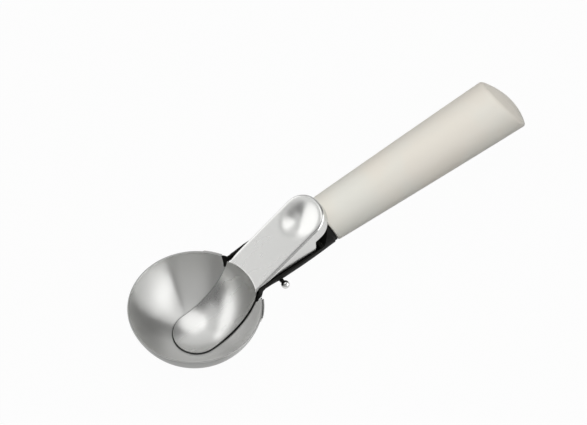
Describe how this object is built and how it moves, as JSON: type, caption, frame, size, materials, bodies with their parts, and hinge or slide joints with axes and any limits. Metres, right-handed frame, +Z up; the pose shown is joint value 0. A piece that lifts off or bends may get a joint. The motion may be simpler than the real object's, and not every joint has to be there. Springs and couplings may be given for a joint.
{
  "type": "ice cream scoop",
  "caption": "Ice cream scoop with a round metal bowl, a sprung thumb lever whose tongue lifts the ball out, a black trough neck and a pale handle.",
  "frame": {"origin": "on the ground under the middle of the object's box, with the bowl standing on its bottom at Z = 0", "axes": "+X from the bowl along the handle, +Z up out of the open bowl, +Y to the left of someone who looks from the bowl to the handle"},
  "size_m": [0.2072, 0.0598, 0.044],
  "materials": {
    "steel": "polished to satin",
    "black_plastic": "satin moulded",
    "cream_plastic": "soft gloss",
    "nylon": "natural nylon"
  },
  "bodies": {
    "scoop": {"bowl": "steel", "bowl_saddle": "steel", "bowl_screw_left": "steel", "bowl_screw_right": "steel", "neck": "black_plastic", "handle": "cream_plastic", "end_plug": "cream_plastic", "tang_rod": "steel", "tang_washer": "steel", "tang_nut": "steel", "pivot_pin": "steel", "pin_cap": "steel", "pivot_washer_left": "steel", "pivot_washer_right": "steel", "pivot_bush": "nylon", "return_spring": "steel"},
    "lever": {"lever": "steel", "hinge_bracket": "steel"}
  },
  "joints": [
    {"name": "lever_press", "type": "hinge", "parent": "scoop", "child": "lever", "pos_m": [-0.03392, 0, 0.0209], "axis": [0, 1, 0], "range_deg": [0, 6.5], "stiffness_Nm_per_rad": 0.2, "springref_deg": -20.05, "deforming": ["return_spring"]}
  ]
}
